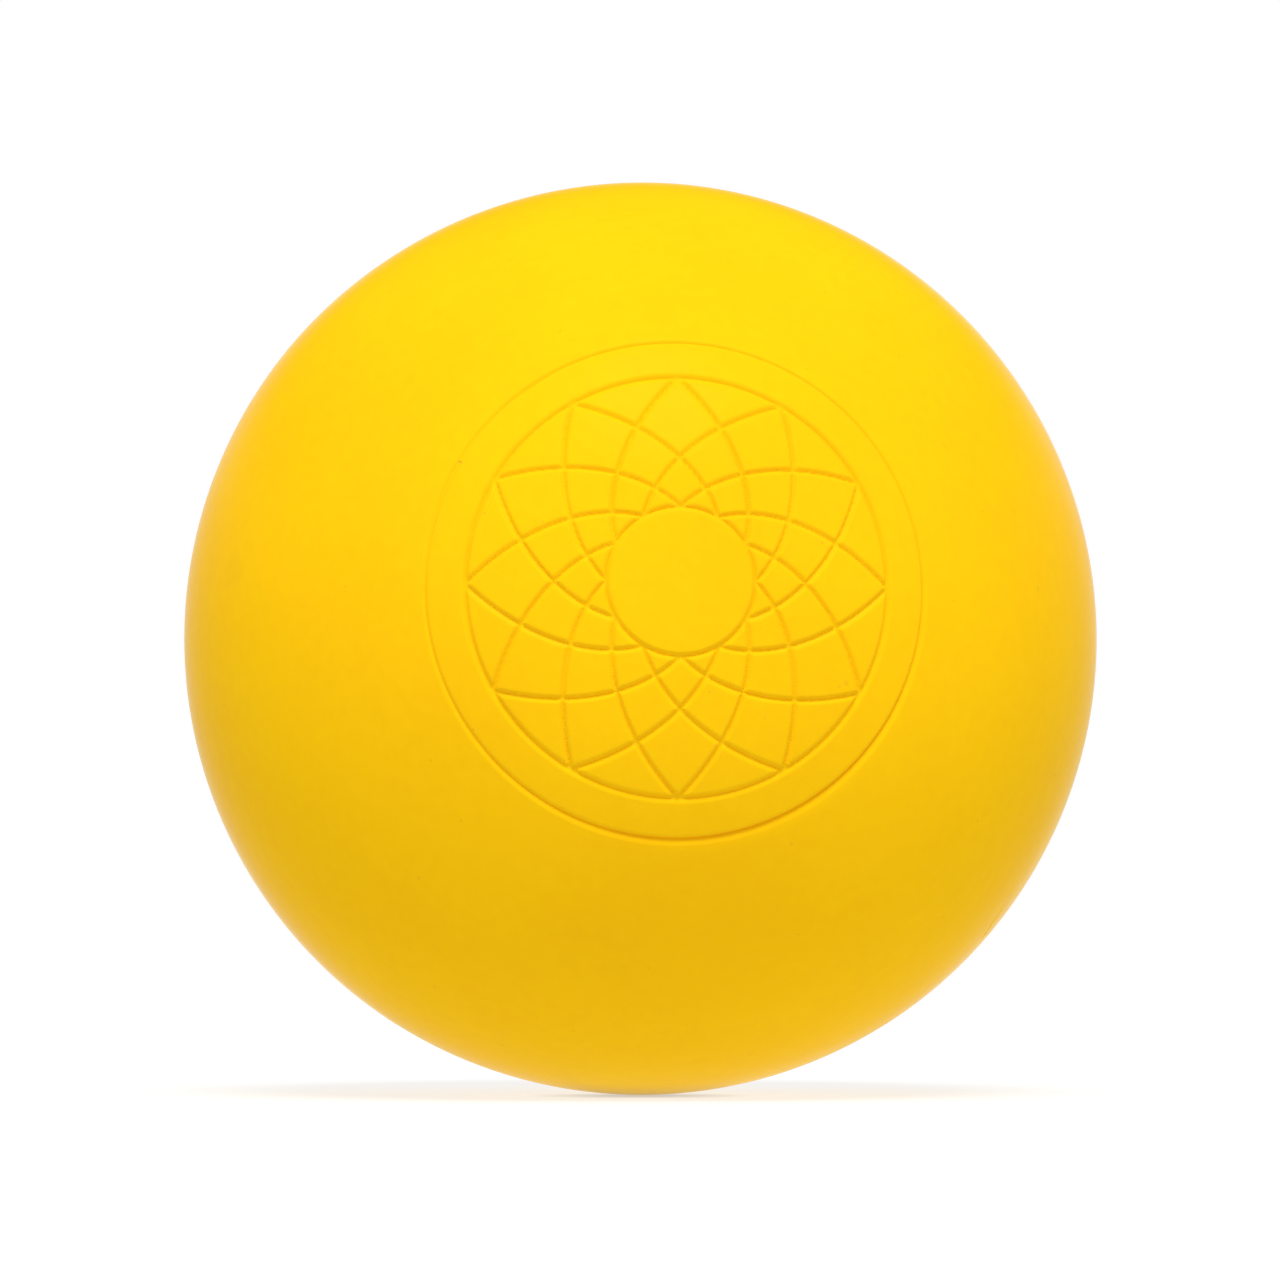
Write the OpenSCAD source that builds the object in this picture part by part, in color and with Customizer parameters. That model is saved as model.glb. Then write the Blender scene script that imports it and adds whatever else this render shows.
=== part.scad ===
// Lacrosse ball: a solid rubber core inside a rubber cover that is moulded in two halves.
// Units are millimetres. The origin is the centre of the ball and +Z is up.
// The front of the ball looks along -Y. The two cover halves meet in the plane Y = 0.

/* [Ball] */
// Diameter of the finished ball
ball_d = 63.5; // [62.7:0.1:64.6]

/* [Cover and core] */
// Thickness of the cover's wall
cover_wall = 6; // [3:0.25:12]
// Free space at the bond between the cover and the core, measured on the radius
bond_gap = 0.05; // [0.02:0.01:0.2]

/* [Parting line] */
// Width at the surface of the fine groove where the two cover halves meet
seam_w = 0.4; // [0.2:0.05:1]
// Depth of the parting line's groove
seam_depth = 0.12; // [0.05:0.01:0.4]

/* [Insert ring] */
// Diameter of the fine round groove on the front, left by the mould's round insert
ring_d = 31.1; // [20:0.1:46]
// Width of the ring's groove at the surface
ring_w = 0.6; // [0.3:0.05:1]
// Depth of the ring's groove
ring_depth = 0.16; // [0.05:0.01:0.3]

/* [Hidden] */
// Number of sides of round shapes on the screen
$fn = 96;
// How far a cutting shape runs past the surface that it cuts
overrun = 1;
// Radius of the finished ball
ball_r = ball_d / 2;
// Radius of the hollow in the cover
hollow_r = ball_r - cover_wall;
// Radius of the core that fills that hollow
core_r = hollow_r - bond_gap;
// Half the width of the parting line's groove, carried on to the end of the cutting shape
seam_half_w = seam_w / 2 * (1 + overrun / seam_depth);
// Radius of the ring groove's round section, from its width and depth
ring_section_r = (pow(ring_w / 2, 2) + pow(ring_depth, 2)) / (2 * ring_depth);
// Distance from the ball's centre to the centre of the ring groove's section
ring_section_at = ball_r + ring_section_r - ring_depth;
// Angle between the front axis and the ring, seen from the ball's centre
ring_angle = asin(ring_d / ball_d);
// Cover rubber as the photo shows it, and the duller rubber inside
cover_colour = "#ffd200";
core_colour = "#b98a2c";

// Half of the cover cut through the middle: the wall between the ball's outside and the hollow
module half_cover_outline() {
    difference() {
        intersection() {
            circle(r = ball_r);
            square([ball_r + overrun, ball_r + overrun]);
        }
        circle(r = hollow_r);
        parting_line_section();
    }
}

// The parting line's groove cut through: a flat V with its point on the parting plane
module parting_line_section() {
    polygon([
        [ball_r - seam_depth, 0],
        [ball_r + overrun, seam_half_w],
        [ball_r + overrun, -seam_half_w]
    ]);
}

// The ring's groove cut through: a shallow round channel in the ball's surface
module insert_ring_section() {
    translate([ring_section_at * sin(ring_angle), ring_section_at * cos(ring_angle)])
        circle(r = ring_section_r);
}

// The solid core that the cover is moulded around
module core() {
    color(core_colour)
        sphere(r = core_r);
}

// The half of the cover that carries the ring
module front_cover() {
    color(cover_colour)
        rotate([90, 0, 0])
            rotate_extrude()
                difference() {
                    half_cover_outline();
                    insert_ring_section();
                }
}

// The plain half of the cover
module back_cover() {
    color(cover_colour)
        rotate([-90, 0, 0])
            rotate_extrude()
                half_cover_outline();
}

core();
front_cover();
back_cover();
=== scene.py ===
"""Looks of a lacrosse ball: a rubber core inside a yellow cover that is moulded in two halves.

All lengths are metres. The ball's centre is the origin, its front looks along -Y and +Z is up.
"""

import math

import bpy
import numpy as np
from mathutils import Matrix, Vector


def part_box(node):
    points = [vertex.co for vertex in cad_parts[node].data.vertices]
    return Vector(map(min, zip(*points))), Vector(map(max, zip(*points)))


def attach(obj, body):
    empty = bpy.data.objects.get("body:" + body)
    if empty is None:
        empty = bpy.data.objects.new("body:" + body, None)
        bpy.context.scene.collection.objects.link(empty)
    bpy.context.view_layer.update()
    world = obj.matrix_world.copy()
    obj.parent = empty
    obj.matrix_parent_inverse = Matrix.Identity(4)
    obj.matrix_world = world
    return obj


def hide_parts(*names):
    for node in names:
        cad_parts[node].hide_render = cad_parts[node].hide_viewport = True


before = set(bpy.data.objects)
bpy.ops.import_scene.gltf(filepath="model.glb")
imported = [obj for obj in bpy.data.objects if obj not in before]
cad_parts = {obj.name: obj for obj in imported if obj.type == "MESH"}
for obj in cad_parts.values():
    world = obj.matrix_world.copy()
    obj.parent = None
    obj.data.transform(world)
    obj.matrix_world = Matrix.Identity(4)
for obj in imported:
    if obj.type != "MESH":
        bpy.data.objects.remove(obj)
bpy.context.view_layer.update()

bl_info = {
    "name": "Lacrosse ball",
    "version": (1, 0, 0),
    "blender": (4, 5, 0),
    "location": "View3D > Sidebar > Lacrosse ball",
    "description": "Builds a moulded lacrosse ball and the stage that it is photographed on",
    "category": "Object",
}

MM = 0.001
BODY = "root"
BALL_RADIUS = -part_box("front_cover")[0].y
CORE_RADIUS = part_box("core")[1].z

# How many rows of vertices the surface has, from the middle of the front outwards
DISC_ROWS = 134
RING_INNER_ROWS = 6
RING_OUTER_ROWS = 9
SIDE_ROWS = 46
SEAM_ROWS = 8
# How many rows the hollow behind the surface has
INSIDE_ROWS = 15
# The back's rows meet the parting line with as many vertices as the front's do
BACK_ROWS = DISC_ROWS // 2
# Edges that turn by more than this stay sharp
SHARP_ANGLE = math.radians(50)

# Share of the ring's depth and of its outer wall, by the azimuth round the ring: a mean, and cosine waves
# that each have a number of turns round the ring, a swing, and a phase in degrees
RING_MEAN_SHARE = 0.70
RING_WAVES = ((1, 0.33, 71), (2, 0.14, 129))
# Azimuth where the groove has its flat floor, and how sharply the floor narrows away from there
RING_FLOOR_AZIMUTH = math.radians(152)
RING_FLOOR_POWER = 12

# How many swells of trimmed flash run round the parting line, how many times their spacing drifts, and
# how many finer swells cut into them
FLASH_WAVES = (7, 3, 17)
# Share of the parting line's depth that the flash fills at most
FLASH_FILL = 0.6

# The moulded surface's unevenness: seed and number of its waves, and how fast they run across the ball
UNEVEN_SEED = 11
UNEVEN_WAVES = 9
UNEVEN_RATE = 2.6

# Marks that this ball shows: polar angle from the ring's axis and azimuth from the right, both in
# degrees, radius in mm, and strength. A fleck is a bit of darker rubber or dirt, and a scuff is a spot
# where the satin skin is rubbed dull.
FLECKS = (
    (29.4, 149.7, 0.12, 0.7), (29.1, 149.7, 0.1, 0.6), (23.89, 144.9, 0.09, 0.3),
    (22.17, -29.8, 0.24, 0.22), (21.64, -31.8, 0.16, 0.18),
    (61.5, 174.9, 1.5, 0.08), (47.2, 15.1, 0.22, 0.2), (49.7, 2.7, 0.22, 0.2))
SCUFFS = (
    (63.3, -20.3, 0.16, 1.0), (63.4, -19.7, 0.16, 1.0), (63.5, -19.1, 0.16, 1.0),
    (70.9, -29.8, 0.22, 0.8), (71.9, -36.6, 0.3, 0.9),
    (73.7, -39.3, 0.3, 1.0), (74.4, -40.3, 0.36, 1.0), (75.2, -41.4, 0.4, 1.0), (76.4, -42.4, 0.4, 1.0))

# The span of a noise pattern that a finish makes use of, and a narrower one for the clouds of pigment
NOISE_RANGE = (0.3, 0.7)
CLOUD_RANGE = (0.35, 0.65)
# How much of the deep colour the clouds and the mottle mix in where they are strongest
CLOUD_SHARE = 0.6
MOTTLE_SHARE = 0.5
# How much of the speck colour a fine speck mixes in, and the radii where it is full and where it ends,
# as shares of the spacing
SPECK_SHARE = 0.35
SPECK_RADIUS_SHARES = (0.02, 0.05)
# How much of the grain's height tilts the skin
GRAIN_STRENGTH = 0.35

# Soft patches of the table's light: x and y of the middle, radius up to which the patch is full and
# radius at which it ends, in mm, and its strength as a share of the table's own light. The first set is
# a painted contact shadow: it dims the table's glow where the ball nearly touches it.
TABLE_PAINTED_SHADE = ((0, 0, 2, 8, 0.65),)
TABLE_PATCHES = ((0, 0, 8, 24, 1.08), (28, -10, 8, 34, 1.18), (-22, -10, 8, 26, 1.06))
# Half the width of the table
TABLE_REACH = 1.5
# Grey of the table for the light that falls on the ball, and as it is seen
TABLE_GREYS = (0.05, 0.3)
# Strength of the table's own light as it is seen, which makes it white
TABLE_SEEN = 0.72

# Angle above the horizon up to which the walls are seen as white, angle from which the ceiling is seen
# as dim, and the ceiling's strength
WALL_TOP = math.radians(18)
CEILING_START = math.radians(28)
CEILING_SEEN = 0.06

# How wide the soft light looks from the ball
KEY_WIDTH = math.radians(30)
# Width of the camera's sensor in mm, and the nearest distance that it shows
SENSOR_WIDTH = 36.0
CLIP_START = 5 * MM


class BallShape(bpy.types.PropertyGroup):
    """Sizes of the ball's surface that a user may change."""

    bond_gap: bpy.props.FloatProperty(
        name="Bond gap", description="Free space between the core and the cover",
        default=0.05 * MM, min=0.0, unit="LENGTH", subtype="DISTANCE", precision=5)
    ring_diameter: bpy.props.FloatProperty(
        name="Ring diameter", description="Diameter of the fine round groove on the front",
        default=31.1 * MM, min=0.0, unit="LENGTH", subtype="DISTANCE", precision=5)
    ring_inner_wall: bpy.props.FloatProperty(
        name="Ring inner wall", description="How far the ring's groove reaches towards the disc's middle",
        default=0.32 * MM, min=0.0, unit="LENGTH", subtype="DISTANCE", precision=5)
    ring_outer_wall: bpy.props.FloatProperty(
        name="Ring outer wall", description="How far the groove's outer wall reaches where its share is 1",
        default=0.46 * MM, min=0.0, unit="LENGTH", subtype="DISTANCE", precision=5)
    ring_depth: bpy.props.FloatProperty(
        name="Ring depth", description="Depth of the ring's groove where its share is 1",
        default=0.26 * MM, min=0.0, unit="LENGTH", subtype="DISTANCE", precision=5)
    ring_floor: bpy.props.FloatProperty(
        name="Ring floor", description="Width of the groove's flat floor at the upper left",
        default=0.1 * MM, min=0.0, unit="LENGTH", subtype="DISTANCE", precision=5)
    disc_step: bpy.props.FloatProperty(
        name="Disc step", description="How far the disc inside the ring lies below the surface around it",
        default=0.03 * MM, min=0.0, unit="LENGTH", subtype="DISTANCE", precision=5)
    seam_width: bpy.props.FloatProperty(
        name="Parting line width", description="Width of the groove where the two cover halves meet",
        default=0.4 * MM, min=0.0, unit="LENGTH", subtype="DISTANCE", precision=5)
    seam_depth: bpy.props.FloatProperty(
        name="Parting line depth", description="Depth of the parting line's groove where no flash fills it",
        default=0.12 * MM, min=0.0, unit="LENGTH", subtype="DISTANCE", precision=5)
    stroke_width: bpy.props.FloatProperty(
        name="Stroke width", description="Width of an engraved stroke of the net ornament",
        default=0.50 * MM, min=0.0, unit="LENGTH", subtype="DISTANCE", precision=5)
    stroke_depth: bpy.props.FloatProperty(
        name="Stroke depth", description="Depth of an engraved stroke of the net ornament",
        default=0.21 * MM, min=0.0, unit="LENGTH", subtype="DISTANCE", precision=5)
    net_inner: bpy.props.FloatProperty(
        name="Net inner radius", description="Radius of the circle where the net ornament begins",
        default=4.6 * MM, min=0.0, unit="LENGTH", subtype="DISTANCE", precision=5)
    net_strands: bpy.props.IntProperty(
        name="Net strands", description="How many strands of the net run each way round",
        default=12, min=3)
    net_rows: bpy.props.IntProperty(
        name="Net rows", description="How many half meshes the net has from its inner to its outer circle",
        default=4, min=1)
    uneven_height: bpy.props.FloatProperty(
        name="Unevenness", description="How far the moulded surface strays from a true ball",
        default=0.10 * MM, min=0.0, unit="LENGTH", subtype="DISTANCE", precision=5)


class BallFinish(bpy.types.PropertyGroup):
    """Colours and finish of the rubber that a user may change."""

    cover_colour: bpy.props.FloatVectorProperty(
        name="Cover colour", description="Colour of the yellow cover rubber",
        default=(0.98, 0.575, 0.0045), min=0.0, max=1.0, subtype="COLOR")
    cover_deep_colour: bpy.props.FloatVectorProperty(
        name="Deep cover colour", description="Colour of the cover rubber where the pigment lies thicker",
        default=(0.95, 0.53, 0.0045), min=0.0, max=1.0, subtype="COLOR")
    cover_speck_colour: bpy.props.FloatVectorProperty(
        name="Speck colour", description="Colour of the few fine specks in the cover rubber",
        default=(0.62, 0.30, 0.02), min=0.0, max=1.0, subtype="COLOR")
    core_colour: bpy.props.FloatVectorProperty(
        name="Core colour", description="Colour of the duller rubber of the core",
        default=(0.48, 0.25, 0.03), min=0.0, max=1.0, subtype="COLOR")
    core_deep_colour: bpy.props.FloatVectorProperty(
        name="Deep core colour", description="Darker colour that mottles the core",
        default=(0.36, 0.18, 0.03), min=0.0, max=1.0, subtype="COLOR")
    cloud_size: bpy.props.FloatProperty(
        name="Cloud size", description="Size of the soft clouds of pigment",
        default=16 * MM, min=0.1 * MM, unit="LENGTH", subtype="DISTANCE", precision=5)
    mottle_size: bpy.props.FloatProperty(
        name="Mottle size", description="Size of the fine mottle in the rubber",
        default=0.9 * MM, min=0.01 * MM, unit="LENGTH", subtype="DISTANCE", precision=5)
    speck_spacing: bpy.props.FloatProperty(
        name="Speck spacing", description="Distance from one fine speck to the next",
        default=2.6 * MM, min=0.1 * MM, unit="LENGTH", subtype="DISTANCE", precision=5)
    grain_size: bpy.props.FloatProperty(
        name="Grain size", description="Size of the tight grain of the satin skin",
        default=0.22 * MM, min=0.01 * MM, unit="LENGTH", subtype="DISTANCE", precision=5)
    grain_height: bpy.props.FloatProperty(
        name="Grain height", description="Height of the tight grain of the satin skin",
        default=0.02 * MM, min=0.0, unit="LENGTH", subtype="DISTANCE", precision=5)
    smooth_roughness: bpy.props.FloatProperty(
        name="Smooth roughness", description="Roughness of the skin where its grain is smoothest",
        default=0.16, min=0.0, max=1.0, subtype="FACTOR")
    coarse_roughness: bpy.props.FloatProperty(
        name="Coarse roughness", description="Roughness of the skin where its grain is coarsest",
        default=0.24, min=0.0, max=1.0, subtype="FACTOR")
    skin_ior: bpy.props.FloatProperty(
        name="Skin refraction", description="Index of refraction of the satin skin, which sets its sheen",
        default=1.04, min=1.0, max=3.0)


class BallStage(bpy.types.PropertyGroup):
    """Camera and light of the stage."""

    camera_distance: bpy.props.FloatProperty(
        name="Camera distance", description="Distance from the ball's centre to the camera",
        default=0.233, min=0.05, unit="LENGTH", subtype="DISTANCE")
    camera_azimuth: bpy.props.FloatProperty(
        name="Camera azimuth", description="How far the camera stands to the side of the ring's axis",
        default=math.radians(-4.44), unit="ROTATION", subtype="ANGLE")
    camera_elevation: bpy.props.FloatProperty(
        name="Camera elevation", description="How far the camera stands above the ball's middle",
        default=math.radians(-6.44), unit="ROTATION", subtype="ANGLE")
    outline_share: bpy.props.FloatProperty(
        name="Outline share", description="Radius of the ball's outline as a share of the picture's width",
        default=0.3570, min=0.05, max=0.5, subtype="FACTOR")
    picture_shift: bpy.props.FloatVectorProperty(
        name="Picture shift",
        description="How far the ball lies from the picture's middle, as shares of its width",
        default=(0.0008, 0.0009), size=2)
    room_light: bpy.props.FloatProperty(
        name="Room light", description="Strength of the white light from all round",
        default=0.63, min=0.0)
    table_light: bpy.props.FloatProperty(
        name="Table light", description="Strength of the light that the white table sends up",
        default=0.80, min=0.0)
    key_light: bpy.props.FloatProperty(
        name="Key light", description="Strength of the soft light from above the camera",
        default=2.25, min=0.0)
    key_height: bpy.props.FloatProperty(
        name="Key height", description="How high the soft light stands above the ball",
        default=math.radians(53), unit="ROTATION", subtype="ANGLE")


def bowl(share):
    """Depth share of a groove with rounded lips: the squared cosine of a quarter turn times share."""
    inside = np.minimum(np.abs(share), 1.0)
    return np.cos(inside * math.pi / 2) ** 2


def unevenness(direction, height):
    """How far the surface lies below a true ball, up to height.

    It is half of height less a mean of cosine waves over the direction, held between a tenth and all of it.
    """
    random = np.random.default_rng(UNEVEN_SEED)
    waves = random.normal(0.0, UNEVEN_RATE, (UNEVEN_WAVES, 3))
    phases = random.uniform(0.0, 2 * math.pi, UNEVEN_WAVES)
    swing = np.cos(direction @ waves.T + phases).mean(axis=1)
    return height * (0.5 - swing).clip(0.1, 1.0)


def outward(angle, azimuth, side):
    """Unit direction (sin angle cos azimuth, -side cos angle, sin angle sin azimuth), last axis x y z."""
    return np.stack([
        np.sin(angle) * np.cos(azimuth), -side * np.cos(angle), np.sin(angle) * np.sin(azimuth)], axis=-1)


def ring_angle(shape):
    """Polar angle of the ring's crease."""
    return math.asin(shape.ring_diameter / 2 / BALL_RADIUS)


def ring_groove(angle, azimuth, shape):
    """Depth of the fine round groove, by the arc distance from its crease, and of the disc inside it.

    The outer wall falls by the square of its share from the surface, and the inner wall from the disc's
    step. Depth and outer wall follow a share, the mean plus a cosine wave over the azimuth for each of
    RING_WAVES, which is largest at the bottom. At the upper left a flat floor parts the two walls.
    """
    distance = BALL_RADIUS * (angle - ring_angle(shape))
    share = RING_MEAN_SHARE
    for turns, swing, phase in RING_WAVES:
        share = share + swing * np.cos(turns * azimuth + math.radians(phase))
    depth = share * shape.ring_depth
    floor = shape.ring_floor * np.cos(azimuth - RING_FLOOR_AZIMUTH).clip(0.0, 1.0) ** RING_FLOOR_POWER
    outer_share = (1 - (distance - floor) / (share * shape.ring_outer_wall)).clip(0.0, 1.0)
    outer = depth * outer_share ** 2
    inner_share = (1 + distance / shape.ring_inner_wall).clip(0.0, 1.0)
    inner = shape.disc_step + (depth - shape.disc_step) * inner_share ** 2
    return np.where(distance > 0, outer, inner)


def net_ornament(angle, azimuth, shape):
    """Depth of the engraved net on the front disc.

    Its strands are two sets of equal spirals, azimuth = constant + log(radius) and - log(radius), between
    two circles. The distance to the nearest one is the difference in azimuth times radius over root two.
    """
    radius = BALL_RADIUS * np.sin(angle)
    step = 2 * math.pi / shape.net_strands
    outer = shape.net_inner * math.exp(shape.net_rows * step / 2)
    winding = np.log(np.maximum(radius, MM) / shape.net_inner)
    distance = np.minimum(np.abs(radius - shape.net_inner), np.abs(radius - outer))
    between = (radius > shape.net_inner) & (radius < outer)
    for way in (-1, 1):
        turns = (azimuth + way * winding) / step
        strand = np.abs(turns - np.round(turns)) * step * radius / math.sqrt(2)
        distance = np.where(between, np.minimum(distance, strand), distance)
    return shape.stroke_depth * bowl(distance / (shape.stroke_width / 2))


def parting_groove(angle, azimuth, shape):
    """Depth of the parting line's groove: a V at the parting plane, filled in places by trimmed flash.

    The flash's share is half of one more than the product of two sine waves over the azimuth. The slower
    wave's spacing drifts with a third one.
    """
    distance = BALL_RADIUS * (math.pi / 2 - angle)
    swells, drifts, fine_swells = FLASH_WAVES
    drift = 2 * np.sin(drifts * azimuth)
    flash = 0.5 + 0.5 * np.sin(swells * azimuth + drift) * np.sin(fine_swells * azimuth + 1)
    groove = shape.seam_depth * (1 - distance / (shape.seam_width / 2)).clip(0.0, 1.0)
    return groove * (1 - FLASH_FILL * flash)


def stitched(start_a, count_a, start_b, count_b):
    """Triangles between two neighbouring rows of vertices round the axis.

    Each edge of one row takes the vertex of the other row that lies beside the edge's middle. A pole is a
    row of one vertex and has no edge.
    """
    edges_a = np.arange(count_a)
    edges_b = np.arange(count_b)
    beside_a = -(-((2 * edges_a + 1) * count_b - count_a) // (2 * count_a))
    beside_b = ((2 * edges_b + 1) * count_a + count_b) // (2 * count_b)
    from_a = np.stack([
        start_a + edges_a, start_b + beside_a % count_b, start_a + (edges_a + 1) % count_a], axis=1)
    from_b = np.stack([
        start_b + edges_b, start_b + (edges_b + 1) % count_b, start_a + beside_b % count_a], axis=1)
    return np.concatenate([rows for rows, count in ((from_a, count_a), (from_b, count_b)) if count > 1])


def cover_half(name, outside_angles, outside_counts, side, engraving, shape):
    """A closed half shell round the Y axis, as rows of vertices from its pole to the hollow's pole.

    A vertex lies at radius times outward(angle, azimuth, side). Outside, the radius is the ball's less the
    unevenness, the parting groove and the engraving. The flat face at the parting plane leads to the
    hollow, whose rows thin out to its pole.
    """
    inside_counts = 6 * np.arange(INSIDE_ROWS, -1, -1)
    inside_angles = math.pi / 2 * np.arange(INSIDE_ROWS, -1, -1) / INSIDE_ROWS
    counts = np.maximum(np.concatenate([outside_counts, inside_counts]), 1)
    starts = np.concatenate([[0], np.cumsum(counts)[:-1]])
    angle = np.repeat(np.concatenate([outside_angles, inside_angles]), counts)
    number = np.arange(counts.sum()) - np.repeat(starts, counts)
    azimuth = 2 * math.pi * number / np.repeat(counts, counts)
    direction = outward(angle, azimuth, side)
    outside = np.arange(len(angle)) < outside_counts.clip(1).sum()
    drop = unevenness(direction, shape.uneven_height) + parting_groove(angle, azimuth, shape)
    drop += engraving(angle, azimuth)
    radius = np.where(outside, BALL_RADIUS - drop, CORE_RADIUS + shape.bond_gap)
    triangles = np.concatenate([
        stitched(starts[row], counts[row], starts[row + 1], counts[row + 1])
        for row in range(len(counts) - 1)])
    if side < 0:
        triangles = triangles[:, ::-1]
    return new_piece(name, direction * radius[:, None], triangles)


def new_piece(name, points, triangles):
    """A smooth mesh object of those points and triangles, with its corners kept sharp."""
    mesh = bpy.data.meshes.new(name)
    mesh.from_pydata(points, [], triangles)
    mesh.validate()
    mesh.shade_smooth()
    mesh.set_sharp_from_angle(angle=SHARP_ANGLE)
    piece = bpy.data.objects.new(name, mesh)
    bpy.context.scene.collection.objects.link(piece)
    return piece


def seam_angle(shape):
    """Polar angle where the parting line's groove begins."""
    return math.pi / 2 - shape.seam_width / 2 / BALL_RADIUS


def with_seam_rows(angles, shape):
    """Those polar angles, and after them the close rows across the parting line's groove."""
    return np.concatenate([angles, np.linspace(seam_angle(shape), math.pi / 2, SEAM_ROWS)])


def front_rows(shape):
    """Polar angle and vertex count of each row of the front: the disc, the ring's groove and the side."""
    crease = ring_angle(shape)
    ring_start = crease - shape.ring_inner_wall / BALL_RADIUS
    ring_end = crease + shape.ring_outer_wall / BALL_RADIUS
    disc = np.linspace(0.0, ring_start, DISC_ROWS + 1)
    ring = np.concatenate([
        np.linspace(ring_start, crease, RING_INNER_ROWS + 1)[1:],
        np.linspace(crease, ring_end, RING_OUTER_ROWS + 1)[1:]])
    side = np.linspace(ring_end, seam_angle(shape), SIDE_ROWS + 1)[1:-1]
    angles = with_seam_rows(np.concatenate([disc, ring, side]), shape)
    counts = np.concatenate([
        6 * np.arange(DISC_ROWS + 1),
        np.full(len(ring), 6 * DISC_ROWS),
        np.full(len(side) + SEAM_ROWS, 6 * BACK_ROWS)])
    return angles, counts


def back_rows(shape):
    """Polar angle and vertex count of each row of the back, whose rows grow evenly from its pole."""
    angles = with_seam_rows(np.linspace(0.0, seam_angle(shape), BACK_ROWS + 1)[:-1], shape)
    counts = np.concatenate([6 * np.arange(BACK_ROWS), np.full(SEAM_ROWS, 6 * BACK_ROWS)])
    return angles, counts


def finish_piece(piece, node, material):
    """Makes a new piece ride on the ball's body, in the place of its CAD node, with its material."""
    piece.data.materials.append(material)
    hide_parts(node)
    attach(piece, BODY)


def add_node(tree, kind, inputs=None, **settings):
    """A new node with those settings. An input given as a socket is linked, and any other is its value."""
    node = tree.nodes.new(kind)
    for key, value in settings.items():
        setattr(node, key, value)
    for key, value in (inputs or {}).items():
        if isinstance(value, bpy.types.NodeSocket):
            tree.links.new(value, node.inputs[key])
        else:
            node.inputs[key].default_value = value
    return node


def combined(tree, operation, first, second):
    """Two values joined by that math operation."""
    return add_node(tree, "ShaderNodeMath", {0: first, 1: second}, operation=operation).outputs[0]


def distance_between(tree, place, other):
    """The distance from one place to another."""
    node = add_node(tree, "ShaderNodeVectorMath", {0: place, 1: other}, operation="DISTANCE")
    return node.outputs["Value"]


def noise(tree, place, size, octaves):
    """A noise pattern whose features are about size across, with that many finer octaves."""
    node = add_node(tree, "ShaderNodeTexNoise", {
        "Vector": place, "Scale": 1 / size, "Detail": float(octaves)})
    return node.outputs["Fac"]


def spread(tree, value, low, high, new_low, new_high):
    """value carried from the range low to high on to the range new_low to new_high, and held there."""
    return add_node(tree, "ShaderNodeMapRange", {
        "Value": value, "From Min": low, "From Max": high, "To Min": new_low, "To Max": new_high,
    }).outputs["Result"]


def mixed_colour(tree, share, first, second):
    """The first colour where share is 0 and the second where it is 1."""
    mix = add_node(tree, "ShaderNodeMix", data_type="RGBA")
    for key, value in ((0, share), (6, first), (7, second)):
        if isinstance(value, bpy.types.NodeSocket):
            tree.links.new(value, mix.inputs[key])
        else:
            mix.inputs[key].default_value = value
    return mix.outputs[2]


def marked(tree, place, marks, strength):
    """The larger of strength and the marks' own: full over the inner half of each mark, then down to 0."""
    direction = add_node(tree, "ShaderNodeVectorMath", {0: place}, operation="NORMALIZE").outputs[0]
    for polar, azimuth, radius, full in marks:
        middle = outward(math.radians(polar), math.radians(azimuth), 1)
        distance = distance_between(tree, direction, middle)
        reach = radius * MM / BALL_RADIUS
        share = spread(tree, distance, 0.5 * reach, reach, full, 0.0)
        strength = combined(tree, "MAXIMUM", strength, share)
    return strength


def rubber(name, colour, deep_colour, speck_colour, flecks, scuffs):
    """Moulded rubber: clouds of pigment, a fine mottle, a few specks and a satin skin with a tight grain.

    Clouds and mottle are noise that turns colour into deep_colour, and specks are the middles of Voronoi
    cells. Flecks are dark like the specks, and scuffs take the satin off the skin.
    """
    finish = bpy.context.scene.lacrosse_ball_finish
    material = bpy.data.materials.new(name)
    material.use_nodes = True
    tree = material.node_tree
    skin = tree.nodes["Principled BSDF"]
    place = add_node(tree, "ShaderNodeTexCoord").outputs["Object"]
    clouds = spread(tree, noise(tree, place, finish.cloud_size, 2), *CLOUD_RANGE, 0.0, CLOUD_SHARE)
    mottle = spread(tree, noise(tree, place, finish.mottle_size, 4), *NOISE_RANGE, 0.0, MOTTLE_SHARE)
    pigment = combined(tree, "ADD", clouds, mottle)
    body_colour = mixed_colour(tree, pigment, (*colour, 1.0), (*deep_colour, 1.0))
    cells = add_node(tree, "ShaderNodeTexVoronoi", {"Vector": place, "Scale": 1 / finish.speck_spacing})
    speck = spread(tree, cells.outputs["Distance"], *SPECK_RADIUS_SHARES, SPECK_SHARE, 0.0)
    speck = marked(tree, place, flecks, speck)
    skin_colour = mixed_colour(tree, speck, body_colour, (*speck_colour, 1.0))
    tree.links.new(skin_colour, skin.inputs["Base Color"])
    grain = noise(tree, place, finish.grain_size, 4)
    roughness = spread(tree, grain, *NOISE_RANGE, finish.smooth_roughness, finish.coarse_roughness)
    tree.links.new(marked(tree, place, scuffs, roughness), skin.inputs["Roughness"])
    skin.inputs["IOR"].default_value = finish.skin_ior
    bump = add_node(tree, "ShaderNodeBump", {
        "Height": grain, "Strength": GRAIN_STRENGTH, "Distance": finish.grain_height})
    tree.links.new(bump.outputs["Normal"], skin.inputs["Normal"])
    return material


def cover_material():
    """The yellow cover rubber, made once and shared by both halves."""
    finish = bpy.context.scene.lacrosse_ball_finish
    return bpy.data.materials.get("yellow_rubber") or rubber(
        "yellow_rubber", finish.cover_colour, finish.cover_deep_colour, finish.cover_speck_colour,
        FLECKS, SCUFFS)


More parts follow.
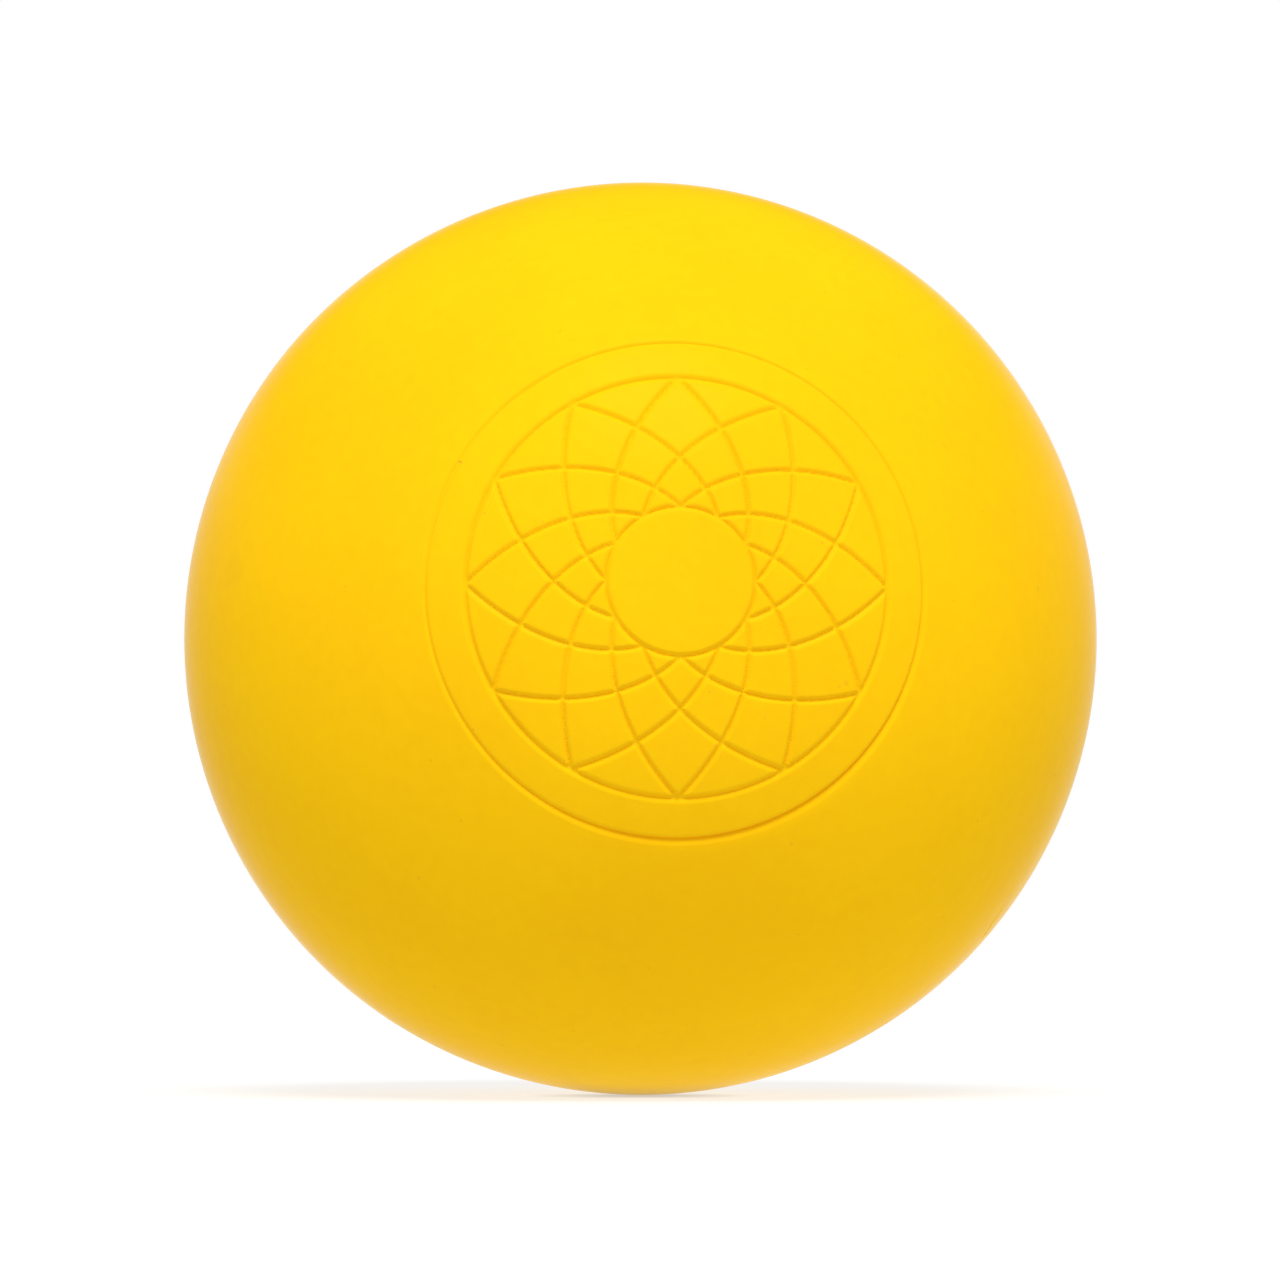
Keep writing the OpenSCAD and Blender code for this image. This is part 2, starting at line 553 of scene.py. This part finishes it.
class FrontCover(bpy.types.Operator):
    """Builds the front half of the cover, with its ring and its engraved net."""

    bl_idname = "lacrosse_ball.front_cover"
    bl_label = "Front cover"

    def execute(self, context):
        shape = context.scene.lacrosse_ball_shape

        def engraving(angle, azimuth):
            """Depth of the ring's groove and of the net."""
            return ring_groove(angle, azimuth, shape) + net_ornament(angle, azimuth, shape)

        piece = cover_half("ball_front", *front_rows(shape), 1, engraving, shape)
        finish_piece(piece, "front_cover", cover_material())
        return {"FINISHED"}


class BackCover(bpy.types.Operator):
    """Builds the plain back half of the cover."""

    bl_idname = "lacrosse_ball.back_cover"
    bl_label = "Back cover"

    def execute(self, context):
        shape = context.scene.lacrosse_ball_shape

        def engraving(angle, azimuth):
            """No depth anywhere, because the back is plain."""
            return np.zeros(len(angle))

        piece = cover_half("ball_back", *back_rows(shape), -1, engraving, shape)
        finish_piece(piece, "back_cover", cover_material())
        return {"FINISHED"}


class Core(bpy.types.Operator):
    """Gives the core, which keeps its own solid, its duller rubber."""

    bl_idname = "lacrosse_ball.core"
    bl_label = "Core"

    def execute(self, context):
        finish = context.scene.lacrosse_ball_finish
        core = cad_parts["core"]
        core.data.materials.clear()
        core.data.materials.append(rubber(
            "ochre_rubber", finish.core_colour, finish.core_deep_colour, finish.core_deep_colour, (), ()))
        return {"FINISHED"}


def seen_directly(tree):
    """1 for rays from the camera, or from a mirror or glass, and 0 for all other light."""
    rays = add_node(tree, "ShaderNodeLightPath")
    seen = rays.outputs["Is Camera Ray"]
    for way in ("Is Glossy Ray", "Is Transmission Ray"):
        seen = combined(tree, "MAXIMUM", seen, rays.outputs[way])
    return seen


def add_world(stage):
    """White light from all round. It is seen as plain white up to the height that the picture shows."""
    world = bpy.data.worlds.new("studio")
    bpy.context.scene.world = world
    world.use_nodes = True
    tree = world.node_tree
    background = tree.nodes["Background"]
    background.inputs["Color"].default_value = (1.0, 1.0, 1.0, 1.0)
    way = add_node(tree, "ShaderNodeTexCoord").outputs["Generated"]
    height = add_node(tree, "ShaderNodeSeparateXYZ", {0: way}).outputs["Z"]
    walls = spread(tree, height, math.sin(WALL_TOP), math.sin(CEILING_START), 1.0, CEILING_SEEN)
    strength = spread(tree, seen_directly(tree), 0.0, 1.0, stage.room_light, walls)
    tree.links.new(strength, background.inputs["Strength"])


def patched(tree, strength, place, patches):
    """That strength times the share of each soft patch at a place on the table."""
    for x, y, near, far, share in patches:
        distance = distance_between(tree, place, (x * MM, y * MM, -BALL_RADIUS))
        strength = combined(
            tree, "MULTIPLY", strength, spread(tree, distance, near * MM, far * MM, share, 1.0))
    return strength


def add_floor(stage):
    """A wide white table that glows a little from inside. It keeps the ball's soft shadow.

    Its own light is dimmed where the ball nearly touches it. This painted contact shadow is seen on the
    table and in the ball's reflection, and it dims the light on the ball's underside. The light that it
    throws on the ball is stronger in some patches, which aren't seen on the table itself.
    """
    corners = np.array([[-1, -1, 0], [1, -1, 0], [1, 1, 0], [-1, 1, 0]]) * TABLE_REACH
    mesh = bpy.data.meshes.new("floor")
    mesh.from_pydata(corners + [0.0, 0.0, -BALL_RADIUS], [], [(0, 1, 2, 3)])
    floor = bpy.data.objects.new("floor", mesh)
    bpy.context.scene.collection.objects.link(floor)
    material = bpy.data.materials.new("floor")
    material.use_nodes = True
    tree = material.node_tree
    tree.nodes.clear()
    seen = seen_directly(tree)
    grey = spread(tree, seen, 0.0, 1.0, *TABLE_GREYS)
    matt = add_node(tree, "ShaderNodeBsdfDiffuse", {"Color": grey})
    place = add_node(tree, "ShaderNodeTexCoord").outputs["Object"]
    # The glow carries the painted contact shadow near the ball's foot, both as seen and as light on the
    # ball.
    on_ball = patched(tree, stage.table_light, place, TABLE_PAINTED_SHADE + TABLE_PATCHES)
    as_seen = patched(tree, TABLE_SEEN, place, TABLE_PAINTED_SHADE)
    strength = spread(tree, seen, 0.0, 1.0, on_ball, as_seen)
    glow = add_node(tree, "ShaderNodeEmission", {"Color": (1.0, 1.0, 1.0, 1.0), "Strength": strength})
    surface = add_node(tree, "ShaderNodeAddShader", {0: matt.outputs[0], 1: glow.outputs[0]})
    add_node(tree, "ShaderNodeOutputMaterial", {"Surface": surface.outputs[0]})
    mesh.materials.append(material)


def add_key(stage):
    """A wide, distant light that shines on the ball from above the front."""
    light = bpy.data.lights.new("key", "SUN")
    light.energy = stage.key_light
    light.angle = KEY_WIDTH
    lamp = bpy.data.objects.new("key", light)
    bpy.context.scene.collection.objects.link(lamp)
    lamp.rotation_euler = towards(0.0, stage.key_height).to_track_quat("Z", "Y").to_euler()


def towards(azimuth, elevation):
    """The direction from the ball's centre to a viewer, whose azimuth is 0 in front of the ball."""
    return Vector((
        math.sin(azimuth) * math.cos(elevation), -math.cos(azimuth) * math.cos(elevation),
        math.sin(elevation)))


def add_camera(stage):
    """A camera that looks at the ball's centre and shows its outline at the photographed size."""
    data = bpy.data.cameras.new("camera")
    camera = bpy.data.objects.new("camera", data)
    bpy.context.scene.collection.objects.link(camera)
    back = towards(stage.camera_azimuth, stage.camera_elevation)
    camera.location = stage.camera_distance * back
    camera.rotation_euler = back.to_track_quat("Z", "Y").to_euler()
    outline_slope = BALL_RADIUS / math.sqrt(stage.camera_distance ** 2 - BALL_RADIUS ** 2)
    data.sensor_width = SENSOR_WIDTH
    data.lens = data.sensor_width * stage.outline_share / outline_slope
    data.shift_x, data.shift_y = (-share for share in stage.picture_shift)
    data.clip_start = CLIP_START
    bpy.context.scene.camera = camera


class Stage(bpy.types.Operator):
    """Builds the pale floor, the soft light and the camera."""

    bl_idname = "lacrosse_ball.stage"
    bl_label = "Stage"

    def execute(self, context):
        stage = context.scene.lacrosse_ball_stage
        context.scene.view_settings.view_transform = "Standard"
        add_world(stage)
        add_floor(stage)
        add_key(stage)
        add_camera(stage)
        return {"FINISHED"}


class BallPanel(bpy.types.Panel):
    """Lists the ball's pieces, their sizes and their colours."""

    bl_idname = "VIEW3D_PT_lacrosse_ball"
    bl_label = "Lacrosse ball"
    bl_space_type = "VIEW_3D"
    bl_region_type = "UI"
    bl_category = "Lacrosse ball"

    def draw(self, context):
        for operator in OPERATORS:
            self.layout.operator(operator.bl_idname)
        for group in GROUPS:
            settings = getattr(context.scene, GROUPS[group])
            for key in group.__annotations__:
                self.layout.prop(settings, key)


GROUPS = {
    BallShape: "lacrosse_ball_shape",
    BallFinish: "lacrosse_ball_finish",
    BallStage: "lacrosse_ball_stage",
}
OPERATORS = (FrontCover, BackCover, Core, Stage)


def register():
    """Makes the settings, the operators and the panel known to Blender."""
    for group, name in GROUPS.items():
        bpy.utils.register_class(group)
        setattr(bpy.types.Scene, name, bpy.props.PointerProperty(type=group))
    for kind in (*OPERATORS, BallPanel):
        bpy.utils.register_class(kind)


def unregister():
    """Takes back what register did, in the opposite order."""
    for kind in (BallPanel, *reversed(OPERATORS)):
        bpy.utils.unregister_class(kind)
    for group, name in GROUPS.items():
        delattr(bpy.types.Scene, name)
        bpy.utils.unregister_class(group)


def main():
    """Builds the ball and its stage."""
    register()
    bpy.ops.lacrosse_ball.front_cover()
    bpy.ops.lacrosse_ball.back_cover()
    bpy.ops.lacrosse_ball.core()
    bpy.ops.lacrosse_ball.stage()


if __name__ == "__main__":
    main()
